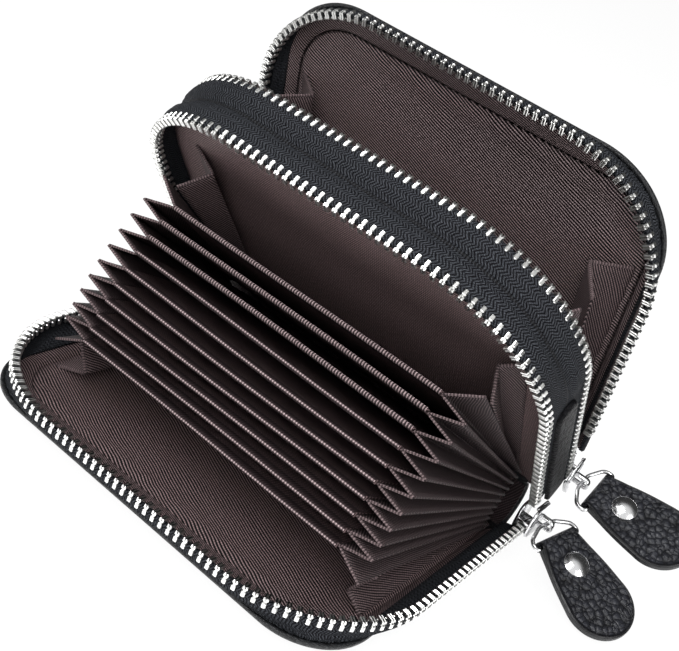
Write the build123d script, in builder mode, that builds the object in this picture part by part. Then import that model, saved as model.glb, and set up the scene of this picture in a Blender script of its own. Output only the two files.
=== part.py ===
from build123d import *
import math
import os

# Zipper card wallet, lying open on its front cover. X runs along the spine, Y from the outer edge
# to the spine, Z up. The origin is on the underside of the front cover, below the fold line.

# Leaves and zip rows
row_half_length = 53.3
row_depth = 75.3
row_corner_radius = 29.3
row_height = 6.5
row_gap = 3.5
rear_setback = 2.0

# Rest angles of the leaves, and the angles of the first and last card divider
middle_open = 49.9
rear_open = 21.4
first_divider_open = 34.0
last_divider_open = 13.7
divider_angle_bow = 5.4

# Covers
leather_thickness = 1.1
cover_board_thickness = 1.1
lining_thickness = 0.4
lip_wall = 1.1
lip_rise = 0.9
cover_rear_reach = 1.0
wall_rear_inset = 2.0
board_rear_inset = 1.0
seam_clearance = 0.1

# A cover is a shallow dish. Its leather edge and its flat bottom are set in from the zip row.
front_edge_side_inset = 3.2
front_edge_inset = 1.8
front_edge_radius = 15.6
front_foot_side_inset = 7.4
front_foot_inset = 10.3
front_foot_radius = 11.0
rear_edge_side_inset = 1.3
rear_edge_inset = 1.1
rear_edge_radius = 21.0
rear_foot_side_inset = 5.5
rear_foot_inset = 9.0
rear_foot_radius = 15.0
foot_wall = 0.3
lining_foot_lap = 0.5
lining_rim_clearance = 0.2
lining_rim_wall = 0.5

# Middle leaf
middle_board_thickness = 1.2
middle_lining_thickness = 0.3
seam_width = 0.3
end_patch_start = 2.6
end_patch_length = 42.4
end_patch_half_width = 3.2
end_patch_thickness = 0.9

# Zip
tape_thickness = 0.8
tape_straight = 1.1
tape_lean_drop = 2.1
tape_lean_height = 0.7
tape_seat = 0.2
tape_lean_wall = 1.0
tooth_height = 2.3
tooth_crown = 0.7
tooth_thickness = 2.2
tooth_width = 1.15
tooth_pitch = 2.1
tooth_crown_taper = 24.0
row_slider_end = 0.5
row_free_end = 5.6
rear_row_free_end = 10.6
tape_slider_end = -1.0
tape_free_end = 5.1
stop_length = 2.6
stop_height = 5.4
stop_thickness = 3.0

# Card pocket
divider_count = 10
divider_thickness = 0.5
divider_pitch = 1.45
hem_thickness = 1.0
hem_height = 3.0
pocket_shift = 2.0
divider_top_half = 35.2
divider_base_margin = 8.6
first_divider_depth = 59.4
last_divider_depth = 61.1
divider_base_radius = 5.8
outer_divider_reach = 2.5
gusset_top_margin = 7.3
gusset_base_margin = 6.4
gusset_thickness = 0.35
gusset_clearance = 0.3
gusset_base_reach = 4.0
gusset_top_inset = 1.0

# Wide folds beside the first and last divider, and in the rear compartment
wide_fold_reach = 53.0
wide_fold_in_half = 38.5
wide_fold_margin = 8.3
rear_fold_in_half = 38.5
rear_fold_margin = 6.8
rear_fold_reach = 52.5
rear_fold_tip_half = 45.0
wide_fold_shares = (0.24, 0.72)
rear_fold_shares = (0.17, 0.45)

# Spine
spine_end_inset = 5.3
front_spine_bulge = 6.2
rear_spine_bulge = 7.9
spine_lining_radius = 6.3
spine_lining_cut = 12.0
spine_seam_offset = 1.25

# Sliders
slider_length = 8.0
slider_centre = 1.0
slider_half_width = 3.9
slider_plate = 0.9
slider_clearance = 0.3
slider_flange = 0.7
slider_slot_clearance = 0.4
slider_web = 0.6
slider_web_length = 4.0
slider_nose_round = 2.4
bail_width = 1.4
bail_hole = 2.2
bail_rise = 2.5
bail_shift = 2.5
bail_wire = 0.8
bail_round = 1.0

# Pulls: ring, leather tab and rivet
ring_wire = 1.0
ring_seat = 1.5
ring_depth = 4.6
ring_half = 6.1
ring_top_half = 2.2
ring_shoulder = 2.2
ring_top_radius = 3.0
ring_shoulder_radius = 2.2
ring_bar_radius = 0.8
tab_top_width = 10.4
tab_end_width = 16.5
tab_length = 25.8
tab_thickness = 2.0
tab_loop_wall = 0.9
tab_loop_clearance = 0.25
tab_edge_round = 0.4
rivet_radius = 3.0
rivet_dome = 1.3
rivet_rim = 0.3
rivet_back = 0.5
rivet_back_radius = 2.6
rivet_shank_radius = 1.0
rivet_clearance = 0.05
rivet_from_top = 8.2
front_pull_yaw = -14.0
front_pull_pitch = -16.5
front_pull_roll = 18.0
rear_pull_yaw = 0.0
rear_pull_pitch = -0.6
rear_pull_roll = 29.4

# Worked out from the sizes above
half_gap = row_gap / 2
half_tooth = tooth_height / 2
half_tape = tape_thickness / 2
cover_stack = leather_thickness + cover_board_thickness + lining_thickness
leaf_offset = row_height + half_gap
pivot_height = cover_stack + leaf_offset
tooth_near = half_gap - half_tooth
tooth_far = half_gap + half_tooth
leather_offset = leaf_offset + lining_thickness + cover_board_thickness
middle_half_board = middle_board_thickness / 2
middle_skin = middle_half_board + middle_lining_thickness
panel_inset = half_tape + seam_clearance
spine_half_length = row_half_length - spine_end_inset
divider_base_half = row_half_length - pocket_shift - divider_base_margin
gusset_top_half = divider_top_half + gusset_top_margin
gusset_base_half = row_half_length - pocket_shift - gusset_base_margin
wide_fold_out_half = row_half_length - wide_fold_margin
rear_fold_out_half = row_half_length - rear_fold_margin
edge_top = tooth_far + tape_straight + tape_lean_drop + seam_clearance
lip_foot = edge_top + lip_rise
rear_depth = row_depth + rear_setback

# Outlines as half length, depth from the fold line and corner radius
front_row = (row_half_length, row_depth, row_corner_radius)
front_edge = (row_half_length - front_edge_side_inset, row_depth - front_edge_inset, front_edge_radius)
front_foot = (row_half_length - front_foot_side_inset, row_depth - front_foot_inset, front_foot_radius)
rear_row = (row_half_length, rear_depth, row_corner_radius)
rear_edge = (row_half_length - rear_edge_side_inset, rear_depth - rear_edge_inset, rear_edge_radius)
rear_foot = (row_half_length - rear_foot_side_inset, rear_depth - rear_foot_inset, rear_foot_radius)

os.makedirs("parts", exist_ok=True)


# A leaf plane has its origin on the fold line, X along the spine, Y to the spine, Z to the rear
def leaf_plane(origin, angle):
    tilt = math.radians(angle)
    return Plane(origin=origin, x_dir=(1, 0, 0), z_dir=(0, math.sin(tilt), math.cos(tilt)))


front = leaf_plane((0, 0, pivot_height), 0)
middle = leaf_plane((0, 0, pivot_height), middle_open)
rear_pivot = middle.from_local_coords(Vector(0, rear_setback, 2 * leaf_offset))
middle_rear = leaf_plane(rear_pivot, middle_open)
rear = leaf_plane(rear_pivot, middle_open + rear_open)


# The plane across a leaf at a given distance from the fold line, X along the spine, Y to the rear
def cross_plane(leaf, reach, rise, shift=0):
    place = leaf.from_local_coords(Vector(shift, -reach, rise))
    return Plane(origin=place, x_dir=leaf.x_dir, z_dir=-leaf.y_dir)


# An outline on a leaf, grown outward or inward, and closed at a given distance from the fold line
def outline(size, grow, rear_end):
    half, depth, radius = size
    with BuildSketch() as face:
        with BuildLine():
            FilletPolyline(
                (-half - grow, rear_end),
                (-half - grow, -depth - grow),
                (half + grow, -depth - grow),
                (half + grow, rear_end),
                radius=radius + grow,
            )
            Line((half + grow, rear_end), (-half - grow, rear_end))
        make_face()
    return face.sketch


def keep(piece, label):
    piece.part.label = label
    export_step(piece.part, f"parts/{label}.step")


def sheet(label, leaf, low, high, size, grow):
    with BuildPart() as piece:
        with BuildSketch(leaf.offset(low)):
            add(outline(size, grow, -board_rear_inset))
        extrude(amount=high - low)
    keep(piece, label)


# A zip tape is the wall that stands on three sides of a leaf, cut back from the fold by its end
def tape(label, leaf, low, high, size, end):
    with BuildPart() as piece:
        with BuildSketch(leaf.offset(low)):
            add(outline(size, half_tape, -end))
            add(outline(size, -half_tape, -end), mode=Mode.SUBTRACT)
        extrude(amount=high - low)
    keep(piece, label)


# A form on a leaf that goes from outline to outline. Each level is an outline, its growth and its height.
def form(leaf, outward, levels, rear_end):
    with BuildPart() as body:
        for first, second in zip(levels, levels[1:]):
            size, grow, height = first
            with BuildSketch(leaf.offset(outward * height)):
                add(outline(size, grow, rear_end))
            if second[:2] == first[:2]:
                extrude(amount=outward * (second[2] - height))
            else:
                with BuildSketch(leaf.offset(outward * second[2])):
                    add(outline(second[0], second[1], rear_end))
                loft(ruled=True)
    return body.part


# A cover's tape stands straight below the teeth and then leans over to the cover's leather edge
def cover_tape(label, leaf, outward, row, edge, end):
    bend = tooth_far + tape_straight
    low = bend + tape_lean_drop
    outer = -lip_wall + tape_seat
    inner = outer - tape_lean_wall
    with BuildPart() as piece:
        add(form(leaf, outward, ((row, half_tape, tooth_far), (row, half_tape, bend + tape_lean_height),
                                 (edge, outer, low)), -end))
        add(form(leaf, outward, ((row, -half_tape, tooth_far), (row, -half_tape, bend),
                                 (edge, inner, low - tape_lean_height), (edge, inner, low)), -end),
            mode=Mode.SUBTRACT)
    keep(piece, label)


# A cover's lining lies flat on the board and rises round three sides to the tape
def cover_lining(label, leaf, outward, edge, foot):
    outer = -lip_wall - lining_rim_clearance
    with BuildPart() as piece:
        add(form(leaf, outward, ((edge, outer, edge_top),
                                 (foot, lining_foot_lap, leaf_offset + lining_thickness)), -board_rear_inset))
        add(form(leaf, outward, ((edge, outer - lining_rim_wall, edge_top),
                                 (foot, lining_foot_lap - lining_thickness, leaf_offset)), -board_rear_inset),
            mode=Mode.SUBTRACT)
    keep(piece, label)


# Teeth stand in a row on the tape's edge, evenly spaced along its length, each with a tapered crown
def teeth(label, leaf, toward, depth, left_end, right_end):
    base = Plane(origin=leaf.offset(toward * tooth_far).origin, x_dir=leaf.x_dir, z_dir=leaf.z_dir * -toward)
    with BuildLine() as path:
        FilletPolyline(
            (-row_half_length, toward * left_end),
            (-row_half_length, toward * depth),
            (row_half_length, toward * depth),
            (row_half_length, toward * right_end),
            radius=row_corner_radius,
        )
    row = path.wire()
    count = int(row.length / tooth_pitch)
    places = []
    for number in range(count):
        share = (number + 1 / 2) / count
        way = row.tangent_at(share)
        places.append(Location(row.position_at(share), (0, 0, math.degrees(math.atan2(way.Y, way.X)))))
    shank = tooth_height - tooth_crown
    with BuildPart() as piece:
        with BuildSketch(base):
            with Locations(*places):
                Rectangle(tooth_width, tooth_thickness)
        extrude(amount=shank)
        with BuildSketch(base.offset(shank)):
            with Locations(*places):
                Rectangle(tooth_width, tooth_thickness)
        extrude(amount=tooth_crown, taper=tooth_crown_taper)
    keep(piece, label)
    print(label, count, "teeth")


# A cover's leather has a short upright lip, walls that slope in to the flat bottom, and an open rear side
def cover_leather(label, leaf, outward, edge, foot):
    bottom = leather_offset + leather_thickness
    with BuildPart() as piece:
        add(form(leaf, outward, ((edge, 0, edge_top), (edge, 0, lip_foot), (foot, 0, bottom)), -wall_rear_inset))
        add(form(leaf, outward, ((foot, 0, leather_offset), (foot, 0, bottom)), cover_rear_reach))
        add(form(leaf, outward, ((edge, -lip_wall, edge_top), (edge, -lip_wall, lip_foot),
                                 (foot, -foot_wall, leather_offset)), -wall_rear_inset), mode=Mode.SUBTRACT)
    keep(piece, label)


# Front cover
board_offset = leaf_offset + lining_thickness
board_grow = -foot_wall - seam_clearance
cover_leather("front_cover_leather", front, -1, front_edge, front_foot)
sheet("front_cover_board", front, -leather_offset, -board_offset, front_foot, board_grow)
cover_lining("front_cover_lining", front, -1, front_edge, front_foot)
cover_tape("front_zip_tape", front, -1, front_row, front_edge, tape_slider_end)
teeth("front_zip_teeth", front, -1, row_depth, row_slider_end, row_slider_end)

# Middle leaf, with a zip tape on each side of one seam
half_seam = seam_width / 2
board_low = leaf_offset - middle_half_board
board_high = leaf_offset + middle_half_board
sheet("middle_board", middle, board_low, board_high, front_row, -panel_inset)
sheet("middle_front_lining", middle, leaf_offset - middle_skin, board_low, front_row, -panel_inset)
sheet("middle_rear_lining", middle, board_high, leaf_offset + middle_skin, front_row, -panel_inset)
tape("middle_front_zip_tape", middle, tooth_far, leaf_offset - half_seam, front_row, tape_free_end)
teeth("middle_front_zip_teeth", middle, 1, row_depth, row_free_end, row_free_end)
tape("middle_seam", middle, leaf_offset - half_seam, leaf_offset + half_seam, front_row, tape_free_end)
tape("middle_rear_zip_tape", middle_rear, half_seam - leaf_offset, -tooth_far, rear_row, tape_slider_end)
teeth("middle_rear_zip_teeth", middle_rear, -1, rear_depth, row_slider_end, row_slider_end)
with BuildPart() as end_patches:
    straight = end_patch_length - end_patch_half_width
    for side in (-1, 1):
        wall = side * (row_half_length + panel_inset)
        place = middle.from_local_coords(Vector(wall, -end_patch_start, leaf_offset))
        with BuildSketch(Plane(origin=place, x_dir=-middle.y_dir, z_dir=middle.x_dir * side)):
            with BuildLine():
                Polyline((straight, end_patch_half_width), (0, end_patch_half_width),
                         (0, -end_patch_half_width), (straight, -end_patch_half_width))
                ThreePointArc((straight, end_patch_half_width), (end_patch_length, 0),
                              (straight, -end_patch_half_width))
            make_face()
        extrude(amount=end_patch_thickness)
keep(end_patches, "middle_end_patches")

# Rear cover
cover_leather("rear_cover_leather", rear, 1, rear_edge, rear_foot)
sheet("rear_cover_board", rear, board_offset, leather_offset, rear_foot, board_grow)
cover_lining("rear_cover_lining", rear, 1, rear_edge, rear_foot)
cover_tape("rear_zip_tape", rear, 1, rear_row, rear_edge, tape_free_end)
teeth("rear_zip_teeth", rear, 1, rear_depth, row_free_end, rear_row_free_end)


# Card dividers stand between the front cover and the middle leaf and turn about the same fold line
def divider_angle(number):
    share = number / (divider_count - 1)
    swing = last_divider_open - first_divider_open
    return first_divider_open + swing * share - divider_angle_bow * share * (1 - share)


def divider_rise(number):
    return ((divider_count - 1) / 2 - number) * divider_pitch


def divider_depth(number):
    share = number / (divider_count - 1)
    return first_divider_depth + (last_divider_depth - first_divider_depth) * share


# The section of a side fold: two panels that meet at the inner crease, with one thickness
def fold_face(first, crease, last):
    step = math.copysign(gusset_thickness, last[1] - first[1])
    run_first = crease[0] - first[0]
    run_last = crease[0] - last[0]
    slope_first = (crease[1] - first[1]) / run_first
    slope_last = (crease[1] - last[1]) / run_last
    inside = crease[0] + 2 * step / (slope_last - slope_first)
    inside_rise = first[1] + step + slope_first * (inside - first[0])
    with BuildSketch() as band:
        with BuildLine():
            Polyline(first, crease, last, (last[0], last[1] - step), (inside, inside_rise),
                     (first[0], first[1] + step), close=True)
        make_face()
    return band.sketch


for number in range(divider_count):
    angle = divider_angle(number)
    rise = divider_rise(number)
    depth = divider_depth(number)
    leaf = leaf_plane((0, 0, pivot_height), angle)
    base = -outer_divider_reach
    if abs(rise) < divider_base_radius:
        base = math.sqrt(divider_base_radius**2 - rise**2)
    name = f"card_divider_{number + 1:02d}"
    with BuildPart() as divider:
        with BuildSketch(leaf.offset(rise - divider_thickness / 2)):
            with BuildLine():
                Polyline(
                    (pocket_shift - divider_top_half, -depth),
                    (pocket_shift + divider_top_half, -depth),
                    (pocket_shift + divider_base_half, base),
                    (pocket_shift - divider_base_half, base),
                    close=True,
                )
            make_face()
        extrude(amount=divider_thickness)
        with BuildSketch(leaf.offset(rise - hem_thickness / 2)):
            with Locations((pocket_shift, hem_height / 2 - depth)):
                Rectangle(2 * divider_top_half, hem_height)
        extrude(amount=hem_thickness)
    divider.part.label = name
    export_step(divider.part, f"parts/{name}.step")

    # The side folds of each divider reach out to the crease shared with the next one. Their panels are flat,
    # so at the base a crease stands out in the ratio of the panel's widths.
    top_width = gusset_top_half - divider_top_half - gusset_clearance
    base_width = gusset_base_half - divider_base_half - gusset_clearance

    def crease(reach, to_front):
        other = number + 1 if to_front else number - 1
        toward = -1 if to_front else 1
        if 0 <= other < divider_count:
            spread = math.radians(abs(divider_angle(other) - angle))
            return toward * ((divider_pitch + reach * math.sin(spread)) / 2 - gusset_clearance)
        wedge = last_divider_open if to_front else middle_open - first_divider_open
        side_gap = leaf_offset - abs(rise) + reach * math.sin(math.radians(wedge))
        return toward * side_gap * wide_fold_shares[0]

    with BuildPart() as gusset:
        top_reach = depth - gusset_top_inset
        for side in (-1, 1):
            for reach, inner, outer, share in (
                (top_reach, divider_top_half, gusset_top_half, 1),
                (gusset_base_reach, divider_base_half, gusset_base_half, base_width / top_width),
            ):
                start = inner + gusset_clearance
                with BuildSketch(cross_plane(leaf, reach, rise)):
                    add(fold_face(
                        (pocket_shift + side * outer, share * crease(top_reach, True)),
                        (pocket_shift + side * start, 0),
                        (pocket_shift + side * outer, share * crease(top_reach, False)),
                    ))
            loft(ruled=True)
    gusset.part.label = f"card_gusset_{number + 1:02d}"
    export_step(gusset.part, f"parts/card_gusset_{number + 1:02d}.step")


# The wide side folds run from a leaf's lining in to one crease and out to the next
def wide_folds(label, leaf, surface, toward, wedge, base_gap, shares, reach, halves, shift):
    inward, outward, attach = halves
    with BuildPart() as piece:
        for side in (-1, 1):
            for far in (reach, gusset_base_reach):
                gap = base_gap + far * math.sin(math.radians(wedge))
                with BuildSketch(cross_plane(leaf, far, surface)):
                    add(fold_face(
                        (side * attach, 0),
                        (shift + side * inward, toward * gap * shares[0]),
                        (shift + side * outward, toward * gap * shares[1]),
                    ))
            loft(ruled=True)
    piece.part.label = label
    export_step(piece.part, f"parts/{label}.step")


inner_share = 1 - wide_fold_shares[1]
meet_share = 1 - wide_fold_shares[0] - gusset_clearance / leaf_offset
base_gap = leaf_offset - divider_rise(0)
halves = (wide_fold_in_half, gusset_top_half, wide_fold_out_half)
wide_folds("front_cover_gussets", front, -leaf_offset, 1, last_divider_open, base_gap,
           (inner_share, meet_share), wide_fold_reach, halves, pocket_shift)
wide_folds("middle_front_gussets", middle, leaf_offset - middle_skin, -1, middle_open - first_divider_open,
           base_gap - middle_skin, (inner_share, meet_share), wide_fold_reach, halves, pocket_shift)
rear_halves = (rear_fold_in_half, rear_fold_tip_half, rear_fold_out_half)
rear_gap = 2 * leaf_offset - middle_skin
wide_folds("rear_cover_gussets", rear, leaf_offset, -1, rear_open, rear_gap, rear_fold_shares, rear_fold_reach,
           rear_halves, 0)
wide_folds("middle_rear_gussets", middle_rear, middle_skin - leaf_offset, 1, rear_open, rear_gap,
           rear_fold_shares, rear_fold_reach, rear_halves, 0)


# The spine is a curved strip of leather behind each fold line, with a lining in front of it
def spine_strip(label, start, end, bulge, thickness):
    with BuildPart() as piece:
        with BuildSketch(Plane.YZ.offset(-spine_half_length)):
            with BuildLine() as curve:
                SagittaArc(start, end, bulge)
            trace(line_width=thickness)
        extrude(amount=2 * spine_half_length)
    piece.part.label = label
    export_step(piece.part, f"parts/{label}.step")


def in_section(leaf, reach, rise):
    place = leaf.from_local_coords(Vector(0, -reach, rise))
    return (place.Y, place.Z)


half_leather = leather_thickness / 2
front_seam = in_section(middle, 0, leaf_offset - spine_seam_offset)
rear_seam = in_section(middle, 0, leaf_offset + spine_seam_offset)
front_start = (cover_rear_reach + half_leather, half_leather + seam_clearance)
rear_end = in_section(rear, -cover_rear_reach - half_leather, leather_offset + half_leather)
spine_strip("front_spine_leather", front_start, front_seam, -front_spine_bulge, leather_thickness)
spine_strip("rear_spine_leather", rear_seam, rear_end, -rear_spine_bulge, leather_thickness)


def spine_lining(label, leaf, sweep):
    with BuildPart() as piece:
        with BuildSketch(Plane(origin=leaf.origin - leaf.x_dir * spine_half_length, x_dir=leaf.y_dir,
                               z_dir=leaf.x_dir)):
            with BuildLine():
                CenterArc((0, 0), spine_lining_radius, -90, sweep)
            trace(line_width=lining_thickness)
        extrude(amount=2 * spine_half_length)
    piece.part.label = label
    export_step(piece.part, f"parts/{label}.step")


spine_lining("front_spine_lining", front, 180 - middle_open - spine_lining_cut)
spine_lining("rear_spine_lining", middle_rear, 180 - rear_open - spine_lining_cut)


# A slider has an outer and an inner plate round the teeth, joined by a thin web between the rows
slider_inner_face = tooth_thickness / 2 + slider_clearance
slider_outer_face = slider_inner_face + slider_plate
slider_slot = half_tape + slider_slot_clearance


def slider(label, leaf, roll):
    def place(x, y, z):
        return leaf.from_local_coords(Vector(row_half_length + x, slider_centre + y, z))

    with BuildPart() as piece:
        for side in (-1, 1):
            plate = Plane(origin=place(side * slider_inner_face, 0, 0), x_dir=leaf.y_dir, z_dir=leaf.x_dir * side)
            with BuildSketch(plate) as plan:
                Rectangle(slider_length, 2 * slider_half_width)
                fillet(plan.vertices().group_by(Axis.X)[0], radius=slider_nose_round)
            extrude(amount=slider_plate)
            for edge in (-1, 1):
                lift = edge * (slider_half_width - slider_flange / 2)
                flange = place(side * (slider_slot + slider_inner_face) / 2, slider_nose_round / 2, lift)
                with BuildSketch(Plane(origin=flange, x_dir=leaf.y_dir, z_dir=leaf.x_dir)):
                    Rectangle(slider_length - slider_nose_round, slider_flange)
                extrude(amount=(slider_inner_face - slider_slot) / 2, both=True)
        web = place(0, (slider_web_length - slider_length) / 2, 0)
        with BuildSketch(Plane(origin=web, x_dir=leaf.y_dir, z_dir=leaf.x_dir)):
            Rectangle(slider_web_length, slider_web)
        extrude(amount=slider_inner_face, both=True)
        turn = math.radians(roll)
        face = place(slider_outer_face, bail_shift - slider_centre, 0)
        with BuildSketch(Plane(origin=face, x_dir=(1, 0, 0), z_dir=(0, math.cos(turn), math.sin(turn)))) as arch:
            with Locations(((bail_rise + bail_wire) / 2, 0)):
                Rectangle(bail_rise + bail_wire, bail_hole + 2 * bail_wire)
            fillet(arch.vertices().group_by(Axis.X)[-1], radius=bail_round)
            with Locations((bail_rise / 2, 0)):
                Rectangle(bail_rise, bail_hole, mode=Mode.SUBTRACT)
        extrude(amount=bail_width / 2, both=True)
    keep(piece, label)
    return face


# A pull's plane has its origin at the wire in the bail, X out along the pull, Z out of its front
def pull_plane(face, yaw, pitch, roll):
    yaw, pitch, roll = (math.radians(angle) for angle in (yaw, pitch, roll))
    ahead = Vector(math.cos(yaw) * math.cos(pitch), math.sin(yaw) * math.cos(pitch), math.sin(pitch))
    side = Vector(-math.sin(yaw), math.cos(yaw), 0)
    normal = ahead.cross(side) * math.cos(roll) - side * math.sin(roll)
    return Plane(origin=face + Vector(ring_seat, 0, 0), x_dir=ahead, z_dir=normal)


def pull(prefix, plane):
    with BuildPart() as ring:
        with BuildLine(plane) as loop:
            FilletPolyline(
                (0, -ring_top_half),
                (ring_shoulder, -ring_half),
                (ring_depth, -ring_half),
                (ring_depth, ring_half),
                (ring_shoulder, ring_half),
                (0, ring_top_half),
                radius=(ring_top_radius, ring_shoulder_radius, ring_bar_radius, ring_bar_radius,
                        ring_shoulder_radius, ring_top_radius),
                close=True,
            )
        with BuildSketch(loop.line ^ 0):
            Circle(ring_wire / 2)
        sweep()
    keep(ring, f"{prefix}_pull_ring")

    # The tab is one strip of leather folded over the ring's bar, cut round at its free end
    bore = ring_wire / 2 + tab_loop_clearance
    loop_radius = bore + tab_loop_wall
    top_edge = ring_depth - loop_radius
    end_centre = top_edge + tab_length - tab_end_width / 2
    rivet_place = (top_edge + rivet_from_top, 0)
    with BuildPart() as tab:
        with BuildSketch(plane.offset(-tab_thickness / 2)):
            with Locations((end_centre, 0)):
                Circle(tab_end_width / 2)
            with Locations((ring_depth + tab_edge_round, 0)):
                Rectangle(tab_edge_round, tab_top_width)
            make_hull()
        extrude(amount=tab_thickness)
        fillet(tab.faces().filter_by(Axis(plane.origin, plane.z_dir)).edges().filter_by(GeomType.CIRCLE), radius=tab_edge_round)
        with BuildSketch(Plane(origin=plane.from_local_coords(Vector(ring_depth, 0, 0)), x_dir=plane.x_dir,
                               z_dir=plane.y_dir)):
            Circle(loop_radius)
        extrude(amount=tab_top_width / 2, both=True)
        with BuildSketch(Plane(origin=plane.from_local_coords(Vector(ring_depth, 0, 0)), x_dir=plane.x_dir,
                               z_dir=plane.y_dir)):
            Circle(bore)
        extrude(amount=tab_top_width, both=True, mode=Mode.SUBTRACT)
        with Locations(plane.offset(tab_thickness / 2)):
            with Locations(rivet_place):
                Hole(rivet_shank_radius + rivet_clearance)
    keep(tab, f"{prefix}_pull_tab")

    # The rivet is one turned piece: a domed head, a shank through both layers and a flat back
    axis_plane = Plane(origin=plane.from_local_coords(Vector(*rivet_place, 0)), x_dir=plane.x_dir, z_dir=-plane.y_dir)
    head = tab_thickness / 2
    with BuildPart() as rivet:
        with BuildSketch(axis_plane):
            with BuildLine():
                Polyline(
                    (0, head + rivet_dome),
                    (0, -head - rivet_back),
                    (rivet_back_radius, -head - rivet_back),
                    (rivet_back_radius, -head),
                    (rivet_shank_radius, -head),
                    (rivet_shank_radius, head),
                    (rivet_radius, head),
                    (rivet_radius, head + rivet_rim),
                )
                TangentArc((0, head + rivet_dome), (rivet_radius, head + rivet_rim), tangent=(1, 0))
            make_face()
        revolve(axis=Axis(axis_plane.origin, plane.z_dir))
    keep(rivet, f"{prefix}_pull_rivet")


# A metal box holds the two tape ends together at the far end of each zip
def zip_stop(label, leaf):
    with BuildPart() as piece:
        with BuildSketch(leaf.offset(-tooth_far)):
            with Locations((-row_half_length, stop_length / 2 - tape_slider_end)):
                Rectangle(stop_thickness, stop_length)
        extrude(amount=stop_height)
        fillet(piece.edges().filter_by(Axis(leaf.origin, leaf.z_dir)), radius=bail_wire / 2)
    keep(piece, label)


zip_stop("front_zip_stop", front)
zip_stop("rear_zip_stop", middle_rear)


front_face = slider("front_slider", front, front_pull_roll)
rear_face = slider("rear_slider", middle_rear, rear_pull_roll)
pull("front", pull_plane(front_face, front_pull_yaw, front_pull_pitch, front_pull_roll))
pull("rear", pull_plane(rear_face, rear_pull_yaw, rear_pull_pitch, rear_pull_roll))
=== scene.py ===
import math

import bpy
from mathutils import Matrix, Vector


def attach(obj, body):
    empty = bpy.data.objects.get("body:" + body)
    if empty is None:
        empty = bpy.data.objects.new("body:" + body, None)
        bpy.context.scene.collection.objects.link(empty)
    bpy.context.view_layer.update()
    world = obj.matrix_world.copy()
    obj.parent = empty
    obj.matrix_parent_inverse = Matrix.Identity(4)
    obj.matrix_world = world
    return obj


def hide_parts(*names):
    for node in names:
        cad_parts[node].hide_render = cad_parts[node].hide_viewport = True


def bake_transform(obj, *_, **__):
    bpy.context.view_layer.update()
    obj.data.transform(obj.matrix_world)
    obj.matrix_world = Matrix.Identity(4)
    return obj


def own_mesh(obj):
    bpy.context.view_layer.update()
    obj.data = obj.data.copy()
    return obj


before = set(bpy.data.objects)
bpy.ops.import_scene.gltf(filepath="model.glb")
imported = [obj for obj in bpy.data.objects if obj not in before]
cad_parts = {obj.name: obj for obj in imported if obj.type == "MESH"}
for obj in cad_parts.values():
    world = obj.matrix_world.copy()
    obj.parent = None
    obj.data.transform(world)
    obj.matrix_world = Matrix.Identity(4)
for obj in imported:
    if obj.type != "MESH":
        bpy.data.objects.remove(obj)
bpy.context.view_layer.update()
MM = 0.001

# ---------------- sizes shared with the CAD, in mm
HALF, DEPTH, RADIUS = 53.3, 75.3, 29.3
PIVOT, OFFSET = 10.85, 8.25
FAR = 2.9
TAPE_HALF = 0.4
MIDDLE_OPEN, REAR_OPEN, SETBACK = 49.9, 21.4, 2.0
COUNT = 10
BOARD = 0.9                     # half of the middle leaf's board with its linings
SEAM_AT = 6.4                   # from a lining's edge to the seam along it
PUCKER, TAPE_PUCKER = 1.9, 3.7  # stitch to stitch on the linings and on the tapes
PITCH = 2.1                     # tooth to tooth


class Leaf:
    def __init__(self, origin, angle):
        turn = math.radians(angle)
        self.origin = Vector(origin)
        self.out = Vector((0, -math.cos(turn), math.sin(turn)))
        self.up = Vector((0, math.sin(turn), math.cos(turn)))

    def at(self, x, d, h):
        return (self.origin + Vector((x, 0, 0)) + self.out * d + self.up * h) * MM


front = Leaf((0, 0, PIVOT), 0)
middle = Leaf((0, 0, PIVOT), MIDDLE_OPEN)
rear_origin = middle.origin - middle.out * SETBACK + middle.up * 2 * OFFSET
middle_rear = Leaf(rear_origin, MIDDLE_OPEN)
rear = Leaf(rear_origin, MIDDLE_OPEN + REAR_OPEN)


class Rim:
    """An outline on a leaf in five runs: side, corner, outer edge, corner, side."""

    def __init__(self, half, depth, radius):
        self.half, self.depth, self.radius = half, depth, radius

    def at(self, k, t, grow, start):
        """A point a share t along run k, as (x, depth) with its outward direction."""
        corner, level, r = self.half - self.radius, self.depth - self.radius, self.radius + grow
        a = math.pi / 2 * t
        if k == 0:
            return -self.half - grow, start + (level - start) * t, -1.0, 0.0
        if k == 1:
            return -corner - r * math.cos(a), level + r * math.sin(a), -math.cos(a), math.sin(a)
        if k == 2:
            return -corner + 2 * corner * t, self.depth + grow, 0.0, 1.0
        if k == 3:
            return corner + r * math.sin(a), level + r * math.cos(a), math.sin(a), math.cos(a)
        return self.half + grow, level - (level - start) * t, 1.0, 0.0


class Row:
    """The line of a zip row round three sides of a leaf, by its length from the left end."""

    def __init__(self, leaf, depth, left, right):
        self.leaf, self.rim, self.left, self.right = leaf, Rim(HALF, depth, RADIUS), left, right
        arc, level = math.pi * RADIUS / 2, depth - RADIUS
        self.runs = [level - left, arc, 2 * (HALF - RADIUS), arc, level - right]
        self.length = sum(self.runs)

    def place(self, s):
        k = 0
        while k < 4 and s >= self.runs[k]:
            s -= self.runs[k]
            k += 1
        return self.rim.at(k, s / self.runs[k], 0.0, self.right if k == 4 else self.left)

    def at(self, s, off, h):
        x, d, nx, nd = self.place(s)
        return self.leaf.at(x + off * nx, d + off * nd, h)

    def stops(self, step):
        marks = [0.0]
        for run in self.runs:
            n = max(1, round(run / step))
            marks += [marks[-1] + run * (i + 1) / n for i in range(n)]
        return marks


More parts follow.
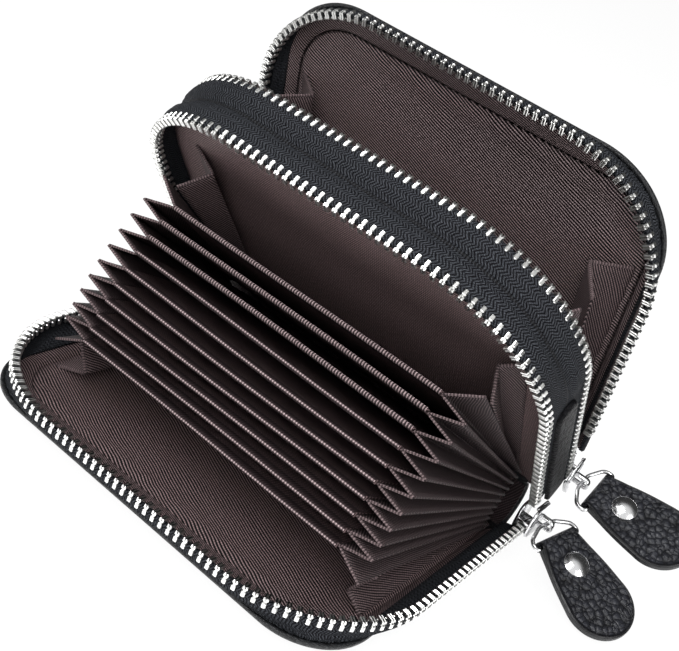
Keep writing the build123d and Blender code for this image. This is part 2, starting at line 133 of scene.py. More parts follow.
def marks_round(step, counts=(46, 46, 48.0, 46, 46)):
    """Places along an outline as (run, share, length along the zip row)."""
    out, run = [], 0.0
    for k, size in enumerate(counts):
        n = max(2, round(size / step))
        out += [(k, i / n, run + size * i / n) for i in range(n)]
        run += size
    return out + [(4, 1.0, run)]


def between(rims, a, b, w, grow, k, t, start):
    """A point part way between two outlines, with its outward direction."""
    p, q = rims[a].at(k, t, grow, start), rims[b].at(k, t, grow, start)
    return tuple(p[i] + (q[i] - p[i]) * w for i in range(4))


# ---------------- shading helpers
class Nodes:
    """Builds math nodes in a node tree; every value may be a number or a socket."""

    def __init__(self, tree):
        self.nodes, self.links = tree.nodes, tree.links

    def new(self, kind):
        return self.nodes.new("ShaderNode" + kind)

    def put(self, socket, value):
        if isinstance(value, bpy.types.NodeSocket):
            self.links.new(value, socket)
        else:
            socket.default_value = value

    def math(self, op, *values, clamp=False):
        n = self.new("Math")
        n.operation, n.use_clamp = op, clamp
        for socket, value in zip(n.inputs, values):
            self.put(socket, value)
        return n.outputs[0]

    def mul(self, a, b, clamp=False):
        return self.math("MULTIPLY", a, b, clamp=clamp)

    def add(self, a, b):
        return self.math("ADD", a, b)

    def sub(self, a, b, clamp=False):
        return self.math("SUBTRACT", a, b, clamp=clamp)

    def fit(self, x, gain, shift):
        return self.math("MULTIPLY_ADD", x, gain, shift)

    def step(self, x, low, high, start=0.0, end=1.0):
        n = self.new("MapRange")
        n.interpolation_type = "SMOOTHSTEP"
        keys = ("Value", "From Min", "From Max", "To Min", "To Max")
        for key, value in zip(keys, (x, low, high, start, end)):
            self.put(n.inputs[key], value)
        return n.outputs[0]


class Shade(Nodes):
    """A material with its Principled shader; patterns are in millimetres."""

    def __init__(self, name, **fixed):
        self.mat = bpy.data.materials.new(name)
        self.mat.use_nodes = True
        super().__init__(self.mat.node_tree)
        self.bsdf = self.nodes["Principled BSDF"]
        for key, value in fixed.items():
            self.bsdf.inputs[key.replace("_", " ").title().replace("Ior", "IOR")].default_value = value

    def coords(self, layer=None):
        if layer is None:
            n = self.new("TexCoord")
            v = self.new("VectorMath")
            v.operation = "SCALE"
            v.inputs[3].default_value = 1000
            self.links.new(n.outputs["Object"], v.inputs[0])
            return v.outputs[0]
        n = self.new("UVMap")
        n.uv_map = layer
        return n.outputs[0]

    def split(self, vector):
        n = self.new("SeparateXYZ")
        self.links.new(vector, n.inputs[0])
        return n.outputs[0], n.outputs[1]

    def wave(self, x, pitch):
        return self.fit(self.math("SINE", self.mul(x, 2 * math.pi / pitch)), 0.5, 0.5)

    def noise(self, vector, scale, detail=2.0, output="Fac"):
        n = self.new("TexNoise")
        for key, value in (("Vector", vector), ("Scale", scale), ("Detail", detail)):
            self.put(n.inputs[key], value)
        return n.outputs[output]

    def cells(self, vector, scale, feature="DISTANCE_TO_EDGE"):
        n = self.new("TexVoronoi")
        n.feature = feature
        self.put(n.inputs["Vector"], vector)
        self.put(n.inputs["Scale"], scale)
        return n.outputs["Distance"]

    def warp(self, vector, scale, amount):
        v = self.new("VectorMath")
        v.operation = "MULTIPLY_ADD"
        for socket, value in zip(v.inputs, (self.noise(vector, scale, output="Color"), (amount,) * 3, vector)):
            self.put(socket, value)
        return v.outputs[0]

    def mix(self, factor, a, b):
        n = self.new("Mix")
        n.data_type = "RGBA"
        self.put(n.inputs[0], factor)
        for k, value in ((6, a), (7, b)):
            self.put(n.inputs[k], value if isinstance(value, bpy.types.NodeSocket) else (*value, 1))
        return n.outputs[2]

    def bump(self, height, distance, strength=1.0, normal=None):
        n = self.new("Bump")
        n.inputs["Strength"].default_value = strength
        n.inputs["Distance"].default_value = distance * MM
        self.links.new(height, n.inputs["Height"])
        if normal is not None:
            self.links.new(normal, n.inputs["Normal"])
        return n.outputs[0]

    def out(self, color=None, normal=None, rough=None):
        for key, value in (("Base Color", color), ("Normal", normal), ("Roughness", rough)):
            if value is not None:
                self.put(self.bsdf.inputs[key], value)
        return self.mat


def srgb(r, g, b):
    return tuple(((v / 255 + 0.055) / 1.055) ** 2.4 if v > 10 else v / 255 / 12.92 for v in (r, g, b))


# ---------------- materials
def twill(name, angle, pitch, dark, light, seam=False, sharp=1.9):
    """Slanting ribs of short yarns, with a grain; seam adds a puckered line along the foot of a wall."""
    m = Shade(name, roughness=0.66, specular_ior_level=0.12)
    uv = m.coords("UVMap")
    u, v = m.split(uv)
    sine, cosine = math.sin(math.radians(angle)), math.cos(math.radians(angle))
    across = m.fit(m.noise(uv, 0.09, 1), 1.6, m.add(m.mul(u, -sine), m.mul(v, cosine)))
    along = m.add(m.mul(u, cosine), m.mul(v, sine))
    stagger = m.mul(m.math("FLOOR", m.math("DIVIDE", across, pitch)), 0.37)
    rib = m.math("POWER", m.wave(across, pitch), sharp)
    yarn = m.wave(m.add(along, stagger), 0.55)
    grain = m.fit(m.noise(uv, 1.6, 3), 1.4, 0.3)
    level = m.mul(m.mul(rib, m.fit(yarn, 0.5, 0.5)), grain, clamp=True)
    color = m.mix(level, dark, light)
    normal = m.bump(level, 0.10, 0.8)
    if seam:
        e, s = m.split(m.coords("Edge"))
        line = m.sub(1.0, m.step(m.math("ABSOLUTE", m.sub(e, SEAM_AT)), 0.05, 0.5))
        pucker = m.mul(line, m.fit(m.wave(s, PUCKER), 0.7, 0.3))
        color = m.mix(m.mul(pucker, 0.8), color, dark)
        normal = m.bump(m.mul(pucker, -1.0), 0.5, 0.7, normal)
    return m.out(color, normal)


def ribbed_hem(name, dark, light, line, reach=3.0):
    """Fine ribs, darkened with the distance from the fold as painted shade down into the pocket, and a beaded
    line along the fold, painted bright as a highlight on its crest.
    """
    m = Shade(name, roughness=0.6, specular_ior_level=0.12)
    uv = m.coords("UVMap")
    u, v = m.split(uv)
    rib = m.math("POWER", m.wave(m.fit(m.noise(uv, 0.6, 1), 0.25, u), 0.64), 1.9)
    # painted shade: the ribs go over to the dark colour further from the fold
    shade_fade = m.math("POWER", m.sub(1.0, m.step(v, 0.4, reach)), 1.3)
    color = m.mix(m.mul(rib, shade_fade), dark, light)
    # painted highlight: a bright line along the fold's crest, beaded by the ribs
    top = m.sub(1.0, m.step(v, 0.08, 0.26))
    color = m.mix(m.mul(top, m.fit(rib, 0.8, 0.2)), color, line)
    return m.out(color, m.bump(rib, 0.16, 0.9))


def herringbone(name, dark, light, band=1.1, pitch=0.72):
    """Ribs that turn back at each band, as on zip tape."""
    m = Shade(name, roughness=0.8, specular_ior_level=0.06)
    uv = m.coords("UVMap")
    u, v = m.split(uv)
    zigzag = m.fit(m.math("PINGPONG", v, band), 0.8, m.fit(m.noise(uv, 0.7, 2), 0.9, u))
    yarn = m.wave(m.sub(m.mul(u, 0.6), v), 0.5)
    grain = m.fit(m.noise(uv, 2.4, 3), 1.8, 0.1)
    level = m.mul(m.mul(m.wave(zigzag, pitch), m.fit(yarn, 0.6, 0.4)), grain, clamp=True)
    return m.out(m.mix(level, dark, light), m.bump(level, 0.16, 1.0))


def leather(name, cell, dark, light, deep, rough=(0.4, 0.62), edge=False, gloss=0.34):
    """Pebbled grain of domed cells, with painted highlight on the domes' tops and painted shade in the creases;
    edge leaves a smooth margin along a tab's outline.
    """
    m = Shade(name, specular_ior_level=gloss)
    at = m.warp(m.coords(), 0.6 / cell, 0.75 * cell)
    near = m.cells(at, 1 / cell, "F1")
    dome = m.sub(1.0, m.mul(near, near), clamp=True)
    crease = m.sub(1.0, m.step(m.cells(at, 1 / cell), 0.0, 0.13))
    broad = m.noise(at, 0.5 / cell, 2)
    height = m.fit(dome, 1.2, m.mul(m.noise(at, 2.6 / cell, 3), 0.3))
    height = m.fit(broad, 0.5, m.fit(crease, -0.12, height))
    # painted highlight on the domes' tops, over a random broad tone
    level = m.fit(broad, 0.9, m.fit(dome, 0.5, -0.35))
    # painted shade in the creases between cells
    level = m.mul(level, m.fit(crease, -0.35, 1.0), clamp=True)
    if edge:
        keep = m.step(m.split(m.coords("Edge"))[0], 0.3, 0.9)
        height, level = m.mul(height, keep), m.mul(level, keep)
    shine = m.fit(dome, rough[0] - rough[1], rough[1])
    return m.out(m.mix(level, dark, light), m.bump(height, deep, 0.9), shine)


def metal(name, color, rough):
    m = Shade(name, metallic=1.0)
    at = m.coords()
    return m.out((*color, 1), m.bump(m.noise(at, 2.5, 2), 0.02, 0.3), m.fit(m.noise(at, 1.2, 3), 0.12, rough))


front_twill = twill("front_twill", 22, 0.66, srgb(2, 1, 1), srgb(126, 108, 109), sharp=2.8)
middle_twill = twill("middle_twill", 11, 0.64, srgb(5, 3, 3), srgb(140, 119, 119))
rear_twill = twill("rear_twill", -22, 0.68, srgb(2, 1, 1), srgb(146, 129, 130), seam=True, sharp=3.0)
# the dividers' panel cloth is painted lighter than the linings, as painted light where little light reaches
# between the dividers
lit_panel_twill = twill("lit_panel_twill", 60, 0.6, srgb(28, 21, 22), srgb(112, 94, 95))
spine_twill = twill("spine_twill", 60, 0.6, srgb(8, 5, 6), srgb(54, 45, 46))
# one gusset cloth in two copies: painted as lit for the wide folds, painted in shade for the cards' folds
lit_gusset_twill = twill("lit_gusset_twill", 62, 0.52, srgb(9, 5, 6), srgb(112, 97, 98))
shaded_card_twill = twill("shaded_card_twill", 62, 0.5, srgb(12, 8, 9), srgb(76, 65, 66))
# one ribbed hem cloth in two copies: painted as lit for the first three dividers, painted in shade for the rest
lit_upper_hem = ribbed_hem("lit_upper_hem", srgb(17, 12, 13), srgb(130, 114, 115), srgb(168, 151, 152), 2.4)
hem = ribbed_hem("shaded_divider_hem", srgb(24, 18, 19), srgb(46, 38, 39), srgb(142, 126, 127))
# the folds' piped edges are painted brighter than their cloth, as a highlight along the crests
fold_edge_highlight = ribbed_hem("gusset_edge_highlight", srgb(18, 13, 14), srgb(70, 59, 60), srgb(96, 83, 84))
tape_cloth = herringbone("tape_cloth", srgb(2, 2, 3), srgb(52, 54, 58))
# the leathers mix from dark to light with painted shade in the creases and painted highlight on the pebbles'
# tops
cover_hide = leather("cover_hide", 0.85, srgb(9, 9, 10), srgb(27, 28, 30), 0.22)
patch_hide = leather("patch_hide", 0.8, srgb(4, 4, 5), srgb(13, 13, 15), 0.2, (0.5, 0.7), gloss=0.08)
pull_hide = leather("pull_hide", 1.45, srgb(8, 8, 10), srgb(38, 39, 44), 0.95, (0.34, 0.58), True, 0.4)
edge_paint = leather("edge_paint", 1.2, srgb(9, 9, 11), srgb(20, 21, 23), 0.05, (0.35, 0.45))
binding = twill("binding", 90, 0.7, srgb(6, 6, 7), srgb(36, 37, 40))
nickel = metal("nickel", (0.66, 0.66, 0.645), 0.24)
plated = metal("plated", (0.70, 0.70, 0.71), 0.13)
mirror = metal("mirror", (0.80, 0.80, 0.81), 0.17)
board = twill("board", 45, 1.1, srgb(24, 18, 17), srgb(38, 31, 29))


# ---------------- mesh helpers
def link(name, data):
    obj = bpy.data.objects.new(name, data)
    bpy.context.scene.collection.objects.link(obj)
    return obj


def piece(name, body, mats, verts, faces, uvs, edges, index, node, smooth=True):
    """A mesh that stands for a node; it rides on body, or on none where body is None."""
    mesh = bpy.data.meshes.new(name)
    mesh.from_pydata([tuple(v) for v in verts], [], faces)
    for mat in mats:
        mesh.materials.append(mat)
    for key, values in (("UVMap", uvs), ("Edge", edges)):
        layer = mesh.uv_layers.new(name=key)
        for loop in mesh.loops:
            layer.data[loop.index].uv = values[loop.vertex_index]
    for i, poly in enumerate(mesh.polygons):
        poly.use_smooth = smooth
        poly.material_index = index[i]
    mesh.validate()
    mesh.update()
    obj = link(name, mesh)
    if body:
        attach(obj, body)
    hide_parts(node)
    return obj


class Builder:
    """Collects grids of points into one mesh."""

    def __init__(self):
        self.verts, self.faces, self.uvs, self.edges, self.index = [], [], [], [], []

    def grid(self, rows, uvs=None, edges=None, mat=0, flip=False):
        start, width = len(self.verts), len(rows[0])
        for i, row in enumerate(rows):
            self.verts += row
            self.uvs += uvs[i] if uvs else [(0, 0)] * width
            self.edges += edges[i] if edges else [(9.0, 0.0)] * width
        for i in range(len(rows) - 1):
            for j in range(width - 1):
                a, b = start + i * width + j, start + (i + 1) * width + j
                quad = (a, b, b + 1, a + 1)
                self.faces.append(quad[::-1] if flip else quad)
                self.index.append(mat(i, j) if callable(mat) else mat)

    def face(self, points, uvs=None, flip=False):
        start = len(self.verts)
        self.verts += points
        self.uvs += uvs or [(0, 0)] * len(points)
        self.edges += [(9.0, 0.0)] * len(points)
        loop = tuple(range(start, start + len(points)))
        self.faces.append(loop[::-1] if flip else loop)
        self.index.append(0)

    def tube(self, rows, uvs=None, flip=False, mat=0):
        """A grid whose rows are closed rings, with a face at each end."""
        self.grid(rows, uvs, mat=mat, flip=flip)
        for i in (0, -1):
            self.face(rows[i][:-1], uvs and uvs[i][:-1], flip=flip == (i == 0))

    def done(self, name, body, mats, node, smooth=True):
        mats = mats if isinstance(mats, list) else [mats]
        return piece(name, body, mats, self.verts, self.faces, self.uvs, self.edges, self.index, node, smooth)


def thicken(obj, depth, offset=-1):
    mod = obj.modifiers.new("thickness", "SOLIDIFY")
    mod.thickness = depth * MM
    mod.offset = offset
    mod.use_even_offset = False


def lengths(points):
    run, out = 0.0, [0.0]
    for a, b in zip(points, points[1:]):
        run += math.dist(a, b)
        out.append(run)
    return out


def around(count):
    """The angles of a closed ring."""
    return [2 * math.pi * k / count for k in range(count + 1)]


def bell(x, width):
    return math.exp(-((x / width) ** 2))


def ease(x):
    x = min(1.0, max(0.0, x))
    return x * x * (3 - 2 * x)


# ---------------- linings on the boards
def outline_rows(rim, grow, back):
    half, radius, level = rim.half + grow, rim.radius + grow, rim.depth - rim.radius
    rows = [(back + (level - back) * i / 46, half) for i in range(47)]
    for i in range(1, 31):
        t = math.pi / 2 * i / 30
        rows.append((level + radius * math.sin(t), rim.half - rim.radius + radius * math.cos(t)))
    return rows


def edge_distance(x, d, rim, grow):
    x, level, corner = abs(x), rim.depth - rim.radius, rim.half - rim.radius
    if d < level:
        return rim.half + grow - x
    if x < corner:
        return rim.depth + grow - d
    return rim.radius + grow - math.hypot(x - corner, d - level)


def lining(name, body, leaf, h, toward, rim, grow, mat, node, thick, wavy, walls=None):
    """A lining on a board; walls are (outlines, floors it climbs) where it runs on up a dished cover."""
    b = Builder()
    rows, uvs, edges = [], [], []
    for d, half in outline_rows(rim, grow, -1.0):
        xs = [half * (j / 36 - 1) for j in range(73)]
        row, edge = [], []
        for x in xs:
            e = edge_distance(x, d, rim, grow)
            lift = 0.12 * wavy * (math.sin(x * 0.11 + d * 0.05) + math.sin(d * 0.13 - x * 0.04))
            if walls:
                lift = lift * ease(e / 4) + 0.32 * bell(e - 2.6, 1.9) * (1 + 0.3 * math.sin((x + d) * 1.15))
            else:
                lift += wavy * (0.35 * bell(e - 3.2, 2.2) - 0.25 * bell(e - SEAM_AT, 0.9))
                lift *= ease(e / 2)
            row.append(leaf.at(x, d, h + toward * lift))
            edge.append((e + (SEAM_AT if walls else 0), x + d))
        rows.append(row)
        uvs.append([(x, d) for x in xs])
        edges.append(edge)
    b.grid(rows, uvs, edges, flip=toward < 0)
    if walls:
        wall_lining(b, leaf, h, toward, *walls)
    thicken(b.done(name, body, [mat, tape_cloth], node), thick)


def wall_lining(b, leaf, h, toward, rims, top):
    """The sloped wall, and above it, where top is 2, the band under the teeth."""
    tall = top > 1
    start = 3.6 if tall else 2.0
    foot_pucker, foot_dip = (1.0, 0.22) if tall else (0.15, 0.05)
    rows, uvs, edges, at_left = [], [], [], []
    for k, t, run in marks_round(1.0):
        row, uv, edge, last, way = [], [], [], None, 0.0
        foot = rims[2].at(k, t, 0.1, start)
        at_left.append(rims[1].at(k, t, 0.0, start)[0] < TAPE_END)
        for i in range(17):
            z = i / 16 * top
            if z <= 1:
                x, d, _, _ = between(rims, 2, 1, z, 0.1 - 1.9 * z, k, t, start)
                lift = WALL * (0.35 * z + 0.65 * z * z) + 0.55 * math.sin(math.pi * z)
                lift -= foot_dip * bell(z, 0.05)
            else:
                y = z - 1
                x, d, _, _ = between(rims, 1, 0, y, -1.8 + 0.75 * y, k, t, start)
                lift = WALL + 2.95 * ease(y * 0.95) ** 0.9 + 0.1 * math.sin(math.pi * y)
            lift += 0.16 * foot_pucker * math.sin(run * 2 * math.pi / PUCKER) * bell(z - 0.06, 0.09)
            spot = (x, d, lift)
            way += math.dist(spot, last or spot)
            last = spot
            row.append(leaf.at(x, d, h + toward * lift))
            uv.append((foot[0] + foot[2] * way, foot[1] + foot[3] * way))
            edge.append((SEAM_AT - way, run))
        rows.append(row)
        uvs.append(uv)
        edges.append(edge)
    b.grid(rows, uvs, edges, flip=toward > 0, mat=lambda i, j: 1 if tall and at_left[i] and j >= 8 else 0)


WALL = 2.05         # rise of the sloped wall over the lining
TAPE_END = -41.0    # left of this the rear wall shows tape above the lining
ROW_FRONT, ROW_REAR = Rim(HALF, DEPTH, RADIUS), Rim(HALF, DEPTH + SETBACK, RADIUS)
RIMS_FRONT = (ROW_FRONT, Rim(50.1, 73.5, 15.6), Rim(45.9, 65.0, 11.0))
RIMS_REAR = (ROW_REAR, Rim(52.0, 76.2, 21.0), Rim(47.8, 68.3, 15.0))
lining("lining_front", "front_cover", front, -OFFSET, 1, RIMS_FRONT[2], 0.1, front_twill,
       "front_cover_lining", 0.4, 0.5, (RIMS_FRONT, 1.0))
lining("lining_middle_front", "middle_leaf", middle, OFFSET - BOARD, -1, ROW_FRONT, -0.5, middle_twill,
       "middle_front_lining", 0.3, 0.4)
lining("lining_middle_rear", "middle_leaf", middle, OFFSET + BOARD, 1, ROW_FRONT, -0.5, rear_twill,
       "middle_rear_lining", 0.3, 0.4)
lining("lining_rear", "rear_cover", rear, OFFSET, -1, RIMS_REAR[2], 0.1, rear_twill,
       "rear_cover_lining", 0.4, 1.0, (RIMS_REAR, 2.0))


# ---------------- swept walls: tapes, seam and cover edges
def ripple(run):
    """The uneven gathers of a sewn tape edge."""
    return math.sin(2 * math.pi * run / TAPE_PUCKER) + 0.4 * math.sin(2 * math.pi * run / 2.3 + 1)


def sweep(row, section, step):
    """A tube of the closed section(length) along a row."""
    rows, uvs = [], []
    for s in row.stops(step):
        pts = section(s)
        pts.append(pts[0])
        rows.append([row.at(s, off, h) for off, h in pts])
        uvs.append([(s, v) for v in lengths(pts)])
    b = Builder()
    b.tube(rows, uvs, flip=True)
    return b


def tape(name, leaf, depth, low, high, start, node, swell=0.85, dip=0.45):
    """low is the toothed edge, high the sewn one; both are rises in the leaf's frame."""
    row = Row(leaf, depth, start, start)
    width = abs(high - low)

    def section(s):
        full = ease(min(s - 46, row.length - 46 - s) / 10)
        outer, inner = [], []
        for i in range(13):
            t = i / 12
            bulge = swell * full * math.sin(math.pi * min(1, t * 1.05)) ** 1.2
            drop = -dip * full * ease((t - 0.62) / 0.38) * (1 + 0.22 * ripple(s))
            wrinkle = 0.09 * full * ripple(s) * ease((t - 0.35) / 0.4)
            bead = 0.28 * bell(t * width - 0.5, 0.55)
            rise = low + (high - low) * t
            outer.append((TAPE_HALF + bulge + drop + wrinkle + bead, rise))
            inner.append((-TAPE_HALF - bead, rise))
        return outer + inner[::-1]

    sweep(row, section, 0.9).done(name, "middle_leaf", tape_cloth, node)


def cover_tape(name, body, leaf, out, rims, start, node):
    """Straight below the teeth, then leaning over to the leather's edge; a line each of (outline, share,
    growth, height)."""
    outer = [(0, 0, 0.4, 1.6), (0, 0, 0.62, 2.1), (0, 0, 0.68, 2.5), (0, 0, 0.5, 2.9), (0, 0, 0.42, 3.3),
             (0, 0, 0.42, 3.8), (1, 0.08, 0.3, 4.25), (1, 0.25, 0.06, 4.7), (1, 0.5, -0.25, 5.15),
             (1, 0.78, -0.6, 5.6), (1, 1, -0.9, 6.1)]
    inner = [(1, 1, -1.9, 6.1), (1, 1, -1.9, 5.4), (1, 0.66, -1.4, 4.95), (1, 0.33, -0.9, 4.5),
             (0, 0, -0.4, 4.0), (0, 0, -0.42, 3.2), (0, 0, -0.68, 2.5), (0, 0, -0.62, 2.1), (0, 0, -0.4, 1.6)]
    b = Builder()
    rows, uvs = [], []
    for k, t, run in marks_round(0.9):
        full = ease(min(run - 40, 186 - run) / 14)
        pts = []
        for side, table in ((1, outer), (-1, inner)):
            for a, w, grow, h in table:
                x, d, nx, nd = between(rims, 0, a, w, grow, k, t, start)
                fold = 0.1 * full * ripple(run) * ease((h - 3.6) / 1.6) * side
                pts.append((x + nx * fold, d + nd * fold, out * (h + 0.5 * fold)))
        pts.append(pts[0])
        rows.append([leaf.at(*p) for p in pts])
        uvs.append([(run, v) for v in lengths(pts)])
    b.tube(rows, uvs, flip=out < 0)
    b.done(name, body, tape_cloth, node)


REACH = 1.3         # how far a tape reaches past the teeth's seats
cover_tape("tape_front", "front_cover", front, -1, RIMS_FRONT, -1.0, "front_zip_tape")
tape("tape_middle_front", middle, DEPTH, FAR - REACH, OFFSET - 0.12, 5.1, "middle_front_zip_tape")
tape("tape_middle_rear", middle_rear, DEPTH + SETBACK, REACH - FAR, 0.12 - OFFSET, -1.0, "middle_rear_zip_tape")
cover_tape("tape_rear", "rear_cover", rear, 1, RIMS_REAR, 5.1, "rear_zip_tape")


def seam_section(s):
    full = ease(min(s - 44, seam_row.length - 44 - s) / 8)
    off = 0.35 - (0.35 + 0.08 * math.sin(2 * math.pi * s / TAPE_PUCKER)) * full
    section = ((off, -0.3), (off + 0.12, -0.12), (off + 0.12, 0.12), (off, 0.3), (-0.4, 0.15), (-0.4, -0.15))
    return [(x, OFFSET + z) for x, z in section]


seam_row = Row(middle, DEPTH, 5.1, 5.1)
sweep(seam_row, seam_section, 0.9).done("seam_middle", "middle_leaf", binding, "middle_seam")


# ---------------- cover leathers: dished, with a turned, piped edge
def cover(name, body, leaf, out, rims, node):
    """The turned edge and the slope share an outline each of (share, growth, height) with the inner face."""
    outer = [(0, -1.1, 6.5), (0, -0.98, 6.22), (0, -0.72, 6.08), (0, -0.4, 6.04), (0, -0.12, 6.14),
             (0, 0.0, 6.42), (0, -0.02, 6.75), (0, -0.22, 6.98), (0, -0.3, 7.12)]
    for w in (0.04, 0.1, 0.2, 0.32, 0.45, 0.58, 0.7, 0.8, 0.88, 0.95, 1.0):
        grow = 0.55 * max(0.0, math.sin(math.pi * w)) ** 0.8 - 0.3 * (1 - w) ** 6
        outer.append((w, grow, 7.12 + 3.73 * (1 - (1 - w) ** 1.15)))
    inner = [(1.0, -0.3, 9.75), (0.5, -0.8, 8.45), (0.0, -1.1, 7.1)]
    rows, uvs = [], []
    for k, t, run in marks_round(1.2):
        pts = []
        for w, grow, h in outer + inner:
            x, d, _, _ = between(rims, 1, 2, w, grow, k, t, 2.0)
            pts.append((x, d, out * h))
        pts.append(pts[0])
        rows.append([leaf.at(*p) for p in pts])
        uvs.append([(run, v) for v in lengths(pts)])
    b = Builder()
    b.tube(rows, uvs, flip=out < 0)
    foot, seat = len(outer) - 1, len(outer)
    back = leaf.out * 3 * MM
    for i, flip in ((foot, out < 0), (seat, out > 0)):
        line = [r[i] for r in rows]
        loop = [line[0] - back] + line + [line[-1] - back]
        b.face(loop, [(p.x / MM, p.y / MM) for p in loop], flip=flip)
    quad = [rows[j][i] - back for j, i in ((0, foot), (-1, foot), (-1, seat), (0, seat))]
    b.face(quad, [(0, 0), (90, 0), (90, 1.1), (0, 1.1)], flip=out > 0)
    b.done(name, body, cover_hide, node)


cover("leather_front", "front_cover", front, -1, RIMS_FRONT, "front_cover_leather")
cover("leather_rear", "rear_cover", rear, 1, RIMS_REAR, "rear_cover_leather")


# ---------------- spine leathers and linings
def arc_points(p, q, bulge, count):
    """Points with their normals on the arc from p to q, in the Y-Z section, that bulges to the rear."""
    p, q = Vector(p), Vector(q)
    half = (q - p).length / 2
    radius = (half * half + bulge * bulge) / (2 * bulge)
    along = (q - p).normalized()
    across = Vector((-along.y, along.x)) * (-1 if along.y > 0 else 1)
    centre = (p + q) / 2 + across * (bulge - radius)
    reach = 2 * math.atan2(bulge, half)
    turns = [reach * (2 * i / count - 1) for i in range(count + 1)]
    normals = [across * math.cos(a) + along * math.sin(a) for a in turns]
    return [(centre + n * radius, n) for n in normals]


def section_of(leaf, d, h):
    p = leaf.at(0, d, h) / MM
    return (p.y, p.z)


def spine(name, p, q, bulge, node, a, c):
    """A leather strip round the arc from p to q; a and c are not used."""
    line = arc_points(p, q, bulge, 26)
    rows, uvs = [], []
    for x in [SPINE_HALF * (i / 50 - 1) for i in range(101)]:
        loop = []
        pinch = ease((SPINE_HALF - abs(x)) / 1.2)
        for side, pts in ((1, line), (-1, line[::-1])):
            for k, (spot, normal) in enumerate(pts):
                share = k / 26
                wrinkle = 0.16 * math.sin(x * 0.35 + 5 * share) * math.sin(math.pi * share)
                wrinkle = (wrinkle + 0.1 * math.sin(x * 0.9 + share * 9)) * math.sin(math.pi * share)
                off = side * 0.55 * (0.45 + 0.55 * pinch) + (wrinkle if side == 1 else 0)
                loop.append(Vector((x, *(spot + normal * off))) * MM)
        loop.append(loop[0])
        rows.append(loop)
        uvs.append([(x, v / MM) for v in lengths(loop)])
    b = Builder()
    b.tube(rows, uvs)
    start, end = line[4][0] * MM, line[-5][0] * MM
    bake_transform(b.done(name, None, cover_hide, node), a, c, start=(0, *start), end=(0, *end))


def spine_lining(name, leaf, sweep_deg, node):
    rows, uvs, radius = [], [], 6.3
    xs = [SPINE_HALF * (j / 10 - 1) for j in range(21)]
    for i in range(27):
        turn = math.radians(sweep_deg) * i / 26
        d, h = -radius * math.sin(turn), -radius * math.cos(turn)
        rows.append([leaf.at(x, d, h) for x in xs])
        uvs.append([(x, radius * turn) for x in xs])
    b = Builder()
    b.grid(rows, uvs)
    obj = b.done(name, None, spine_twill, node)
    thicken(obj, 0.4, 0)
    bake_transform(obj)


SPINE_HALF = 48.0
spine("spine_front", (1.55, 0.65), section_of(middle, 0, OFFSET - 1.25), 6.2, "front_spine_leather",
      "front_cover", "middle_leaf")
spine("spine_rear", section_of(middle, 0, OFFSET + 1.25), section_of(rear, -1.55, 10.3), 7.9,
      "rear_spine_leather", "middle_leaf", "rear_cover")
spine_lining("spine_lining_front", front, 180 - MIDDLE_OPEN - 12, "front_spine_lining")
spine_lining("spine_lining_rear", middle_rear, 180 - REAR_OPEN - 12, "rear_spine_lining")


# ---------------- card dividers and their folded sides
FIRST_ANGLE, LAST_ANGLE, DIVIDER_GAP = 34.0, 13.7, 1.45
SHIFT, TOP_HALF, BASE_HALF, HEM = 2.0, 35.2, 42.7, 3.3
LEANS = (0.08, 0.45, 0.5, 0.3)      # how far the first dividers' hems lean over
ROOT = 5.8                          # the dividers start this far behind the fold line, or nearer


def divider_angle(i):
    share = i / (COUNT - 1)
    return FIRST_ANGLE + (LAST_ANGLE - FIRST_ANGLE) * share - 5.4 * share * (1 - share)


def divider_rise(i):
    return ((COUNT - 1) / 2 - i) * DIVIDER_GAP


def divider_depth(i):
    return 59.4 + 1.7 * i / (COUNT - 1)


def divider(i):
    leaf = Leaf((0, 0, PIVOT), divider_angle(i))
    rise, depth = divider_rise(i), divider_depth(i)
    base = -math.sqrt(ROOT**2 - rise**2) if abs(rise) < ROOT else 2.5
    side = [(base, 0.25), (depth * 0.4, 0.25), (depth * 0.8, 0.25), (depth - HEM, 0.25), (depth - 3.05, 0.36),
            (depth - 2.6, 0.46), (depth - 1.2, 0.48), (depth - 0.45, 0.5), (depth - 0.12, 0.36), (depth, 0.12)]
    loop = side + [(d, -h) for d, h in side[::-1]]
    upper = i < 3
    crest = len(side) - (3 if upper else 1)
    away = [0.0] * len(loop)
    for way in (1, -1):
        k = crest + way
        while 0 <= k < len(loop):
            away[k] = away[k - way] + math.dist(loop[k], loop[k - way])
            k += way
    lean = LEANS[i] if i < len(LEANS) else 0.0
    rows, uvs = [], []
    for j in range(61):
        u = j / 30 - 1
        row, uv = [], []
        for (d, h), far in zip(loop, away):
            share = (d - base) / (depth - base)
            x = SHIFT + u * (BASE_HALF + (TOP_HALF - BASE_HALF) * share)
            sag = 0.18 * math.sin(2.2 * u + i) * ease(share)
            curl = lean * max(0.0, (d - depth + HEM) / HEM) ** 1.5
            row.append(leaf.at(x, d, rise + h + sag + curl))
            uv.append((x, far))
        rows.append(row)
        uvs.append(uv)
    last = 2 * len(side) - 5
    b = Builder()
    b.grid(rows, uvs, mat=lambda _, k: 1 if 3 <= k <= last else 0)
    b.face(rows[0], uvs[0])
    b.face(rows[-1], uvs[-1], flip=True)
    node = f"card_divider_{i + 1:02d}"
    # the first three dividers take the hem painted as lit, the others the hem painted in shade
    b.done(f"divider_{i + 1:02d}", node, [lit_panel_twill, lit_upper_hem if upper else hem], node)


